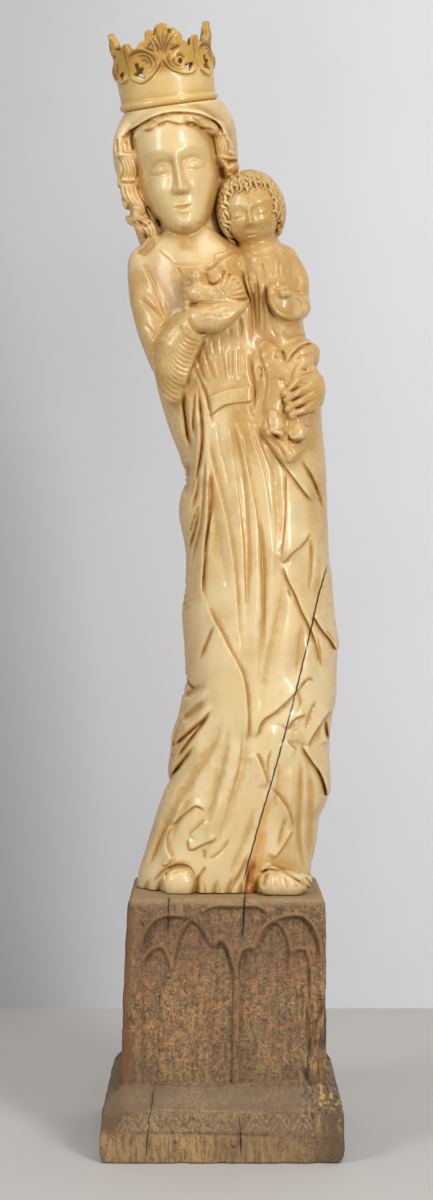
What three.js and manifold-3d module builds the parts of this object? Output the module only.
// A crowned Virgin carrying the Child, carved from one curved ivory tusk, on a carved wooden plinth.
// Millimetres, +Z up, the figure faces -Y. The origin is the centre of the plinth's underside.
import * as THREE from "three";
import { mergeGeometries, mergeVertices } from "three/addons/utils/BufferGeometryUtils.js";
import Module from "manifold-3d";

const wasm = await Module();
wasm.setup();

// Driving dimensions
const PLINTH_HEIGHT = 148;
const BASE_SIDE = 141; // the plinth's square foot
const BASE_HEIGHT = 19; // its upright edge, below the sloping band
const BAND_TOP = 31; // where the sloping band meets the block
const BLOCK_FOOT = { left: -58.4, right: 59.1, front: -57, back: 57 };
const BLOCK_HEAD = { left: -55.2, right: 59.7, front: -53, back: 53 };
const NICHE_DEPTH = 3;
const SEAT_GAP = 0.3; // the clear joint between pieces that rest on each other
const FIGURE_FOOT = PLINTH_HEIGHT + SEAT_GAP;
const SHOULDER_TOP = 541;
const HEAD_LEAN = THREE.MathUtils.degToRad(9); // the head leans with the tusk
const CROWN_LEAN = THREE.MathUtils.degToRad(8);
const CROWN_NOD = THREE.MathUtils.degToRad(11); // the head bows, so the crown tips forward
const CROWN_CENTRE = new THREE.Vector3(-31.5, -1, 615.6);
const CROWN_RADIUS = 28.2;
const CROWN_FLARE = 0.05; // the wall leans out by this much of its height
const CROWN_WALL = 2.6;

// Places on the carving are laid out as a viewer sees them, on an upright plane through the origin.
const VIEWER = { x: -3.3, distance: 1300, height: 320 };

// The point at depth y that the viewer sees at (x, z) on that plane.
function seen(x, z, y) {
  const nearer = (VIEWER.distance + y) / VIEWER.distance;
  return new THREE.Vector3(
    VIEWER.x + (x - VIEWER.x) * nearer,
    y,
    VIEWER.height + (z - VIEWER.height) * nearer,
  );
}

// Where the viewer sees a point, on the same plane.
function sightOf(point) {
  const farther = VIEWER.distance / (VIEWER.distance + point.y);
  return [
    VIEWER.x + (point.x - VIEWER.x) * farther,
    VIEWER.height + (point.z - VIEWER.height) * farther,
  ];
}

// A smooth line through [place, value] pairs, in rising places.
function profile(pairs) {
  const last = pairs.length - 1;
  const slope = (i) => {
    const a = pairs[Math.max(i - 1, 0)];
    const b = pairs[Math.min(i + 1, last)];
    return (b[1] - a[1]) / (b[0] - a[0]);
  };
  return (place) => {
    if (place <= pairs[0][0]) return pairs[0][1];
    if (place >= pairs[last][0]) return pairs[last][1];
    const i = pairs.findIndex((pair) => pair[0] > place) - 1;
    const span = pairs[i + 1][0] - pairs[i][0];
    const t = (place - pairs[i][0]) / span;
    const ends = (1 + 2 * t) * (1 - t) ** 2 * pairs[i][1] + t * t * (3 - 2 * t) * pairs[i + 1][1];
    return ends + span * t * (1 - t) * ((1 - t) * slope(i) - t * slope(i + 1));
  };
}

const ease = (low, high, value) => THREE.MathUtils.smoothstep(value, low, high);
const hump = (offset, width) => Math.exp(-((offset / width) ** 2));

// Moves each vertex of a geometry, and keeps only its positions, merged.
function shaped(geometry, place) {
  const positions = geometry.getAttribute("position");
  const vertex = new THREE.Vector3();
  for (let i = 0; i < positions.count; i++) {
    vertex.fromBufferAttribute(positions, i);
    const moved = place(vertex);
    positions.setXYZ(i, moved.x, moved.y, moved.z);
  }
  geometry.deleteAttribute("normal");
  geometry.deleteAttribute("uv");
  return mergeVertices(geometry, 1e-3);
}

function solid(geometry) {
  geometry.deleteAttribute("normal");
  geometry.deleteAttribute("uv");
  const merged = mergeVertices(geometry, 1e-3);
  return new wasm.Manifold(
    new wasm.Mesh({
      numProp: 3,
      vertProperties: new Float32Array(merged.getAttribute("position").array),
      triVerts: new Uint32Array(merged.index.array),
    }),
  );
}

function meshOf(name, manifold, material) {
  const cut = manifold.getMesh();
  const geometry = new THREE.BufferGeometry();
  geometry.setAttribute("position", new THREE.BufferAttribute(cut.vertProperties, 3));
  geometry.setIndex(new THREE.BufferAttribute(cut.triVerts, 1));
  geometry.computeVertexNormals();
  const mesh = new THREE.Mesh(geometry, material);
  mesh.name = name;
  return mesh;
}

// An egg of three radii, leaning by an angle about the line of sight.
function egg(centre, radii, { lean = 0, around = 14, rings = 9, form = (v) => v } = {}) {
  const across = new THREE.Vector3(0, 1, 0);
  const globe = new THREE.SphereGeometry(1, around, rings);
  globe.rotateX(Math.PI / 2);
  return solid(
    shaped(globe, (v) =>
      form(v.clone()).multiply(new THREE.Vector3(...radii)).applyAxisAngle(across, -lean).add(centre),
    ),
  );
}

const LIMB_END = 0.4; // a limb's ends narrow to this much of its width

// A limb through a few points, with a radius at each, flattened in depth.
function limb(points, radii, { around = 7, along = 4, depth = 1 } = {}) {
  const path = new THREE.CatmullRomCurve3(points);
  const width = profile(radii.map((radius, i) => [i / (radii.length - 1), radius]));
  const frames = path.computeFrenetFrames(along);
  const tube = new THREE.CylinderGeometry(1, 1, 1, around, along);
  return solid(
    shaped(tube, (v) => {
      const t = v.y + 0.5;
      const step = Math.round(t * along);
      const end = Math.min(t, 1 - t) < 1e-6 ? LIMB_END : 1;
      const side = frames.normals[step].clone().multiplyScalar(v.z * width(t) * end);
      side.add(frames.binormals[step].clone().multiplyScalar(v.x * width(t) * end));
      side.y *= depth;
      return path.getPointAt(t).add(side);
    }),
  );
}

// The tusk's left and right outlines, its front and its back, up the figure.
const outline = {
  left: profile([
    [148, -50], [160, -49], [188, -41.5], [217, -32], [246, -27.5], [268, -21.5], [310, -24],
    [335, -21.5], [375, -26.5], [402, -24.5], [432, -35.5], [476, -45.5], [516, -55.5],
    [526, -53.5], [534, -45], [541, -34],
  ]),
  right: profile([
    [148, 54], [174, 56], [202, 63], [246, 65.5], [268, 69], [292, 70], [345, 64.5], [400, 62],
    [447, 59], [472, 50], [505, 36], [522, 24], [534, 10], [541, 0],
  ]),
  front: profile([
    [148, -33], [180, -35], [240, -41], [300, -43], [400, -41], [470, -37], [515, -29], [541, -19],
  ]),
  back: profile([
    [148, 44], [240, 45], [400, 43], [480, 41], [520, 34], [541, 24],
  ]),
};

// Folds of the gown and mantle on the front, as the viewer sees them: half width, then course.
const FOLDS = [
  [5, [-4, 430], [1, 390], [7, 340], [9, 285]],
  [4.5, [8, 432], [15, 395], [19, 350], [19, 300], [15, 262]],
  [4.5, [16, 430], [26, 395], [31, 350], [28, 300], [21, 255]],
  [5, [24, 424], [38, 402], [52, 386], [60, 374]],
  [5, [44, 392], [41, 350], [47, 322], [57, 298], [59, 280]],
  [4.5, [56, 372], [58, 335], [52, 300], [45, 262]],
  [5, [66, 300], [61, 262], [64, 235], [60, 205]],
  [5.5, [20, 238], [30, 254], [42, 262], [53, 272], [58, 258]],
  [5, [28, 210], [38, 196], [43, 182], [33, 162]],
  [5, [40, 238], [47, 215], [49, 185], [52, 158]],
  [5, [-2, 252], [-8, 225], [-20, 200], [-32, 174], [-41, 156]],
  [5.5, [12, 248], [8, 215], [-1, 185], [-9, 158]],
  [5, [18, 236], [24, 214], [18, 185], [12, 160]],
  [5, [-25, 436], [-17, 445], [-14, 420], [-13, 385], [-16, 355], [-20, 332]],
  [4, [-25, 412], [-21, 392], [-21, 370], [-23, 345]],
  [4.5, [-7, 374], [-9, 345], [-10, 322], [0, 300], [10, 280], [15, 262], [15, 240]],
  [5, [-12, 316], [-14, 300], [-17, 284], [-20, 270]],
  [5.5, [-6, 264], [-18, 256], [-29, 242]],
  [5.5, [-7, 244], [-20, 228], [-35, 205]],
  [4, [-43, 530], [-45, 510], [-38, 488]],
  [3.5, [-37, 528], [-26, 519], [-9, 519], [3, 530]],
  [4, [12, 482], [11, 465], [10, 446]],
  [4.6, [-9, 440], [2, 441.5], [14, 443], [22, 443]],
];
const FOLD_SINK = 0.5; // the part of a fold's half width that lies inside the body
const KNEE = { x: -2, z: 272, width: 20, rise: 6 };

// Long folds of the mantle round the sides and back.
const BACK_FOLD_COUNT = 7;
const BACK_FOLD_RISE = 2.4;

function backRelief(angle, z) {
  const sway = 0.35 * Math.sin(z / 70);
  const swelling = 0.5 + 0.5 * ease(520, 300, z);
  return BACK_FOLD_RISE * swelling * Math.cos(BACK_FOLD_COUNT * (angle + sway));
}

// A point of the body's skin at a height, by its angle from straight ahead.
function onTusk(angle, z) {
  const left = outline.left(z);
  const right = outline.right(z);
  const depth = Math.abs(angle) < Math.PI / 2 ? -outline.front(z) : outline.back(z);
  return new THREE.Vector3(
    (left + right) / 2 + ((right - left) / 2) * Math.sin(angle),
    -depth * Math.cos(angle),
    z,
  );
}

// The body's front skin where the viewer sees (x, z), or a little way in from it.
function onFront(x, z, inwards = 0) {
  let point = seen(x, z, -35);
  for (let i = 0; i < 4; i++) {
    const left = outline.left(point.z);
    const right = outline.right(point.z);
    const across = THREE.MathUtils.clamp((2 * point.x - left - right) / (right - left), -0.96, 0.96);
    point = seen(x, z, onTusk(Math.asin(across), point.z).y + inwards);
  }
  return point;
}

// The draped body, which follows the tusk.
function drapedBody() {
  const tube = new THREE.CylinderGeometry(1, 1, 1, 32, 22);
  return solid(
    shaped(tube, (v) => {
      const z = THREE.MathUtils.lerp(FIGURE_FOOT, SHOULDER_TOP, v.y + 0.5);
      const angle = Math.atan2(v.x, v.z);
      const skin = onTusk(angle, z);
      const [x, height] = sightOf(skin);
      const knee = KNEE.rise * hump(Math.hypot(x - KNEE.x, height - KNEE.z), KNEE.width);
      const facing = ease(-0.3, 0.2, Math.cos(angle));
      const rise = facing * knee + (1 - facing) * backRelief(angle, z);
      const axis = new THREE.Vector3((outline.left(z) + outline.right(z)) / 2, 0, z);
      const reach = skin.distanceTo(axis);
      return axis.lerp(skin, Math.hypot(v.x, v.z) * (1 + rise / reach));
    }),
  );
}

function folds() {
  return FOLDS.map(([half, ...course]) => {
    const points = course.map(([x, z]) => onFront(x, z, half * FOLD_SINK));
    const radii = course.map((_, i) => (i % (course.length - 1) ? half : half * 0.8));
    return limb(points, radii, { around: 5, along: course.length });
  });
}

// Head, neck, hair and veil of the Virgin.
const HEAD = { centre: seen(-28, 584, -2), halfWidth: 25, halfDepth: 35, above: 34, below: 46 };

// A point given from the head's centre: across, up, and forward of it.
function onHead(across, up, forward) {
  return new THREE.Vector3(across, -forward, up)
    .applyAxisAngle(new THREE.Vector3(0, 1, 0), -HEAD_LEAN)
    .add(HEAD.centre);
}

function virginHead() {
  const face = egg(HEAD.centre, [HEAD.halfWidth, HEAD.halfDepth, 1], {
    lean: HEAD_LEAN,
    around: 14,
    rings: 10,
    form: (v) => {
      const jaw = 1 - 0.36 * ease(0.1, 1, -v.z) ** 1.4;
      const deepening = v.y < 0 ? 1 + 0.55 * ease(0.2, 0.95, -v.z) : 1 - 0.5 * ease(0.1, 0.9, -v.z);
      const socket = Math.abs(Math.abs(v.x) - 0.42);
      const hollow = v.y < 0 ? 0.07 * hump(Math.hypot(socket, v.z - 0.02), 0.22) : 0;
      return v.set(v.x * jaw, v.y * (deepening - hollow), v.z * (v.z > 0 ? HEAD.above : HEAD.below));
    },
  });
  const nose = limb([onHead(0, 2, 32), onHead(0, -9, 36.5), onHead(0, -18, 39)], [2, 3, 4.4], { around: 8, along: 4 });
  const eye = (side) => egg(onHead(side * 10.5, -1, 28.5), [5.6, 4, 2.8], { lean: HEAD_LEAN, around: 8, rings: 6 });
  const mouth = egg(onHead(0, -28, 33), [7, 3.4, 2.8], { lean: HEAD_LEAN, around: 8, rings: 6 });
  const neck = limb(
    [seen(-17, 515, 4), seen(-18, 535, 2), seen(-22, 560, 4)],
    [23, 19.5, 18],
    { around: 12, along: 2 },
  );
  return [face, nose, eye(-1), eye(1), mouth, neck];
}

// The veil over the back of the head falls to the shoulders and stands off the brow.
function veil() {
  const rows = 9;
  const around = 20;
  const half = profile([
    [520, 22], [538, 29], [562, 31], [590, 37.5], [603, 35], [612, 31], [618, 26], [621, 15],
  ]);
  const middle = profile([
    [520, -20], [545, -22], [575, -27], [590, -28.5], [605, -28.5], [621, -30],
  ]);
  const brow = profile([
    [520, 22], [560, 14], [578, 4], [594, -10], [604, -24], [613, -28], [618, -24], [621, -14],
  ]);
  const nape = profile([
    [520, 27], [540, 35], [560, 38], [590, 41], [610, 34], [618, 26], [621, 14],
  ]);
  const tube = new THREE.CylinderGeometry(1, 1, 1, around, rows);
  return solid(
    shaped(tube, (v) => {
      const z = THREE.MathUtils.lerp(520, 621, v.y + 0.5);
      const centreY = (brow(z) + nape(z)) / 2;
      const deep = (nape(z) - brow(z)) / 2;
      const angle = Math.atan2(v.x, v.z);
      const ripple = 1 + 0.035 * Math.cos(8 * angle) * ease(600, 570, z) * ease(0.2, -0.4, Math.cos(angle));
      return new THREE.Vector3(
        middle(z) + half(z) * ripple * v.x,
        centreY - deep * ripple * v.z,
        z + 0.14 * (v.x * half(z)) * ease(560, 600, z),
      );
    }),
  );
}

// Waving locks beside the face, and the rolled band of hair over the brow.
function hair() {
  const leftLock = limb(
    [seen(-44, 602, -18), seen(-54, 592, -16), seen(-57, 577, -15), seen(-53, 563, -16), seen(-52, 550, -14),
      seen(-44, 543, -14), seen(-44, 530, -14), seen(-50, 524, -10)],
    [6, 8.5, 8, 9, 8.5, 8, 6.5, 4],
    { around: 6, along: 11 },
  );
  const rightLock = limb(
    [seen(-9, 604, -20), seen(0, 594, -16), seen(4, 580, -14), seen(5, 570, -10), seen(3, 556, -4)],
    [5.5, 7, 7.5, 7, 5],
    { around: 6, along: 7 },
  );
  const brow = limb(
    [seen(-46, 602, -22), seen(-36, 608, -28), seen(-25, 610, -30), seen(-14, 608, -28), seen(-6, 602, -22)],
    [4, 4.5, 4.5, 4.5, 4],
    { around: 6, along: 8 },
  );
  return [leftLock, rightLock, brow];
}

// The Child on the Virgin's left arm.
function child() {
  const head = egg(seen(18.5, 554, -17), [17.6, 18.5, 21.5], {
    around: 12,
    rings: 8,
    form: (v) => v.set(v.x * (1 - 0.2 * ease(0.1, 1, -v.z)), v.y, v.z),
  });
  const curls = egg(seen(20, 561, -9), [18.6, 18, 17], { around: 12, rings: 8 });
  const nose = egg(seen(14.5, 546, -33), [2.3, 4, 3], { around: 6, rings: 5 });
  const mouth = egg(seen(15.5, 540, -30), [4, 2.8, 2], { around: 6, rings: 5 });
  const neck = limb([seen(22, 523, -14), seen(20, 538, -14)], [12, 10.5], { along: 3 });
  const torso = limb(
    [seen(23, 532, -12), seen(25, 523, -13), seen(28, 505, -16), seen(31, 485, -16), seen(36, 466, -14)],
    [9, 15, 18.5, 18.5, 17],
    { around: 10, along: 6 },
  );
  const shoulder = limb([seen(33, 526, -12), seen(44, 514, -13), seen(46, 498, -17)], [7, 8.5, 7.5]);
  const forearm = limb([seen(46, 497, -20), seen(38, 494, -32), seen(34, 500, -36)], [8.5, 8, 6.5]);
  const palm = egg(seen(36, 503, -39), [6.5, 4, 6.5], { around: 8, rings: 6 });
  const lap = limb(
    [seen(26, 470, -26), seen(36, 466, -24), seen(48, 467, -20)],
    [11, 11.5, 10.5],
    { around: 10, along: 4 },
  );
  const shin = (knee, ankle, foot) => limb([knee, ankle, foot], [9.5, 6.5, 4.2]);
  return [
    head, curls, nose, mouth, neck, torso, shoulder, forearm, palm, lap,
    shin(seen(27, 464, -32), seen(28, 440, -37), seen(33, 423, -42)),
    shin(seen(44, 464, -30), seen(43, 436, -36), seen(46, 419, -42)),
    egg(seen(42, 444, -24), [16, 14, 27], { around: 12, rings: 8, lean: 0.1 }),
    egg(seen(38, 412, -38), [9, 6, 12], { around: 9, rings: 6, lean: -0.5 }),
  ];
}

// The Virgin's left hand, spread round the Child's legs.
function leftHand() {
  const back = egg(seen(53, 446, -26), [7.5, 14, 12], { around: 10, rings: 7 });
  const fingers = [];
  for (let i = 0; i < 4; i++) {
    const drop = 4.6 * i;
    const tip = seen(37 + 1.1 * i, 444 - drop, -44 + 0.6 * i);
    const knuckle = seen(54, 451 - drop, -37);
    fingers.push(limb([knuckle, seen(46, 448 - drop, -43), tip], [3, 2.8, 2.3], { around: 5, along: 2 }));
  }
  return [back, ...fingers];
}

// The Virgin's right arm: a wide pleated sleeve, and the hand that cups a small bird.
function rightArm() {
  const upperArm = limb(
    [seen(-45, 522, -4), seen(-42, 500, -12), seen(-36, 478, -20), seen(-31, 462, -24)],
    [12, 13, 13, 12],
    { around: 10, along: 4 },
  );
  const sleeve = limb(
    [seen(-28, 448, -28), seen(-28, 462, -32), seen(-26, 474, -36), seen(-19, 484, -40)],
    [8, 12, 11.5, 8],
    { around: 10, along: 4 },
  );
  const hand = limb(
    [seen(-23, 485, -34), seen(-10, 488, -41), seen(4, 492, -43), seen(15, 498, -40)],
    [7.5, 9.5, 7.5, 3],
    { around: 8, along: 5 },
  );
  return [upperArm, sleeve, hand];
}

function bird() {
  const body = egg(seen(-9, 502, -40), [11.5, 8, 7], { around: 10, rings: 7, lean: -0.25 });
  const head = egg(seen(-15, 513, -41), [4.6, 4.6, 4.6], { around: 8, rings: 6 });
  const neck = limb([seen(-13, 504, -41), seen(-15, 512, -41)], [4.5, 3.6], { around: 6, along: 2 });
  const tail = limb([seen(-4, 501, -41), seen(4, 504, -40), seen(12, 503, -36)], [6, 9, 7], {
    around: 10, along: 4, depth: 0.5,
  });
  return [body, head, neck, tail];
}

function feet() {
  return [
    limb([seen(-25, 153, -8), seen(-26, 153, -22), seen(-26, 152.5, -30)], [9, 8.5, 6.5], { around: 8, along: 2 }),
    limb([seen(32, 152, -20), seen(32, 151.5, -38), seen(32, 151, -47)], [12, 11, 7], { around: 8, along: 2 }),
  ];
}

// The crown: a flaring band cut into four leafy fleurons, with small leaves and scrolls between them.
const FLEURONS = 4;
const BEAD_HEIGHT = 4.8; // the round moulding at the foot
const EYE_RADIUS = 3; // the holes inside the scrolls
const EYE = { across: 11.6, up: 25.5 };
// Half of a fleuron's upper edge, from its tip out to the small leaf: across the wall, and up.
const FLEURON_EDGE = [
  [0, 47], [3.8, 46.2], [5.4, 43], [9.6, 43.2], [11.4, 39.4], [9.6, 36.2], [13.6, 35.6], [16.6, 33.4],
  [17.6, 31], [19.4, 35], [20.4, 37.6],
];
const WALL_TOP = 20; // the plain part of the wall
const SMALL_LEAF = 39; // the tip between two fleurons

function crownToWorld(v) {
  return v
    .applyAxisAngle(new THREE.Vector3(1, 0, 0), CROWN_NOD)
    .applyAxisAngle(new THREE.Vector3(0, 1, 0), -CROWN_LEAN)
    .add(CROWN_CENTRE);
}

// Half a fleuron's width, along the wall.
const HALF_SPAN = (Math.PI * CROWN_RADIUS) / FLEURONS;
const HALF_STEPS = 5; // the band's facets under half a fleuron

function crownWall(angle, up, share) {
  const radius = CROWN_RADIUS + CROWN_FLARE * up - CROWN_WALL * (1 - share);
  return new THREE.Vector3(radius * Math.sin(angle), -radius * Math.cos(angle), up);
}

// Half of one fleuron, drawn flat and bent round the crown. Its foot and its two sides are left
// open, where it meets the band and its neighbours.
function halfFleuron(number, side) {
  const leaf = new THREE.Shape();
  leaf.moveTo(0, WALL_TOP);
  for (let i = 1; i <= HALF_STEPS; i++) leaf.lineTo((side * i * HALF_SPAN) / HALF_STEPS, WALL_TOP);
  leaf.lineTo(side * HALF_SPAN, SMALL_LEAF);
  for (const [across, up] of FLEURON_EDGE.toReversed()) leaf.lineTo(side * across, up);
  const hole = new THREE.Path();
  hole.absellipse(side * EYE.across, EYE.up, EYE_RADIUS, EYE_RADIUS * 1.2, 0, 2 * Math.PI, side > 0);
  leaf.holes.push(hole);
  const sheet = new THREE.ExtrudeGeometry(leaf, { depth: 1, bevelEnabled: false, curveSegments: 3 });
  const corners = sheet.getAttribute("position").array;
  const kept = [];
  for (let start = 0; start < corners.length; start += 9) {
    const face = corners.slice(start, start + 9);
    const along = [face[0], face[3], face[6]];
    const ups = [face[1], face[4], face[7]];
    const atFoot = ups.every((up) => Math.abs(up - WALL_TOP) < 1e-3);
    const atSide = [0, HALF_SPAN].some((edge) => along.every((x) => Math.abs(Math.abs(x) - edge) < 1e-3));
    if (!atFoot && !atSide) kept.push(...face);
  }
  const open = new THREE.BufferGeometry();
  open.setAttribute("position", new THREE.Float32BufferAttribute(kept, 3));
  return shaped(open, (v) => crownWall((number * 2 * HALF_SPAN + v.x) / CROWN_RADIUS, v.y, v.z));
}

function crown() {
  const inner = CROWN_RADIUS - CROWN_WALL;
  const outer = CROWN_RADIUS + 1;
  const flare = CROWN_FLARE * WALL_TOP;
  const section = [
    [inner + flare, WALL_TOP], [inner - 1, SEAT_GAP], [outer, SEAT_GAP], [outer + 0.8, BEAD_HEIGHT / 2],
    [CROWN_RADIUS, BEAD_HEIGHT], [CROWN_RADIUS + flare, WALL_TOP],
  ].map(([r, z]) => new THREE.Vector2(r, z));
  const band = new THREE.LatheGeometry(section, 2 * HALF_STEPS * FLEURONS);
  band.rotateX(Math.PI / 2);
  const pieces = [shaped(band, (v) => v.clone())];
  for (let i = 0; i < FLEURONS; i++) pieces.push(halfFleuron(i, -1), halfFleuron(i, 1));
  const joined = mergeVertices(mergeGeometries(pieces), 1e-3);
  return solid(shaped(joined, (v) => crownToWorld(v.clone())));
}

// Clears the head away above the crown's seat, but for the low dome inside the ring.
function crownSeat() {
  const slab = new THREE.CylinderGeometry(60, 60, 60, 12);
  slab.rotateX(Math.PI / 2);
  slab.translate(0, 0, 30);
  const dome = new THREE.SphereGeometry(1, 12, 6);
  dome.scale(CROWN_RADIUS - CROWN_WALL - 2.5, CROWN_RADIUS - CROWN_WALL - 2.5, 7);
  return solid(shaped(slab, (v) => crownToWorld(v.clone())))
    .subtract(solid(shaped(dome, (v) => crownToWorld(v.clone()))));
}

function figure() {
  const parts = [
    ...folds(), ...virginHead(), veil(), ...hair(), ...child(), ...leftHand(), ...rightArm(), ...bird(), ...feet(),
  ];
  let whole = drapedBody();
  for (const part of parts) whole = whole.add(part);
  const below = new THREE.BoxGeometry(300, 300, 40);
  below.translate(0, 0, FIGURE_FOOT - 20);
  return whole.subtract(crownSeat()).subtract(solid(below));
}

// The plinth: a tapering block with a pair of traceried windows on each face, on a wider foot.
function frustum(foot, head, low, high) {
  const box = new THREE.BoxGeometry(1, 1, 1);
  return solid(
    shaped(box, (v) => {
      const t = v.z + 0.5;
      const x = v.x < 0 ? THREE.MathUtils.lerp(foot.left, head.left, t) : THREE.MathUtils.lerp(foot.right, head.right, t);
      const y = v.y < 0 ? THREE.MathUtils.lerp(foot.front, head.front, t) : THREE.MathUtils.lerp(foot.back, head.back, t);
      return new THREE.Vector3(x, y, THREE.MathUtils.lerp(low, high, t));
    }),
  );
}

// A window with a pointed head between two lower round-headed lights.
function windowShape(centre, half) {
  const sill = 37;
  const light = half * 0.4;
  const spring = 104;
  const shape = new THREE.Shape();
  shape.moveTo(centre - half, sill);
  shape.lineTo(centre + half, sill);
  shape.lineTo(centre + half, spring);
  shape.quadraticCurveTo(centre + half, spring + 13, centre + half - light, spring + 12);
  shape.quadraticCurveTo(centre + light, spring + 24, centre, spring + 29);
  shape.quadraticCurveTo(centre - light, spring + 24, centre - half + light, spring + 12);
  shape.quadraticCurveTo(centre - half, spring + 13, centre - half, spring);
  shape.closePath();
  return new THREE.ExtrudeGeometry(shape, { depth: 20, bevelEnabled: false, curveSegments: 3 });
}

function plinth() {
  const foot = { left: -BASE_SIDE / 2, right: BASE_SIDE / 2, front: -BASE_SIDE / 2, back: BASE_SIDE / 2 };
  const bandHead = { left: -65, right: 65.5, front: -60, back: 60 };
  let wood = frustum(foot, foot, 0, BASE_HEIGHT)
    .add(frustum(foot, bandHead, BASE_HEIGHT - 0.01, BAND_TOP))
    .add(frustum(BLOCK_FOOT, BLOCK_HEAD, BAND_TOP - 1, PLINTH_HEIGHT));
  const lean = Math.atan2(BLOCK_HEAD.front - BLOCK_FOOT.front, PLINTH_HEIGHT - BAND_TOP);
  for (let face = 0; face < 4; face++) {
    for (const centre of face === 0 ? [-20.5, 31.5] : [-26, 26]) {
      const cutter = windowShape(centre, face === 0 && centre > 0 ? 22 : 24);
      cutter.rotateX(Math.PI / 2);
      cutter.rotateX(-lean);
      cutter.translate(0, BLOCK_FOOT.front + NICHE_DEPTH, 0);
      cutter.rotateZ((face * Math.PI) / 2);
      wood = wood.subtract(solid(cutter));
    }
  }
  return wood;
}

const ivory = new THREE.MeshStandardMaterial({ color: 0xe3c88f, roughness: 0.35, metalness: 0 });
const crownIvory = new THREE.MeshStandardMaterial({ color: 0xd9b876, roughness: 0.38, metalness: 0 });
const wood = new THREE.MeshStandardMaterial({ color: 0x76604a, roughness: 0.8, metalness: 0 });

const carving = new THREE.Group();
carving.add(
  meshOf("virgin_and_child", figure(), ivory),
  meshOf("crown", crown(), crownIvory),
  meshOf("plinth", plinth(), wood),
);

export default carving;
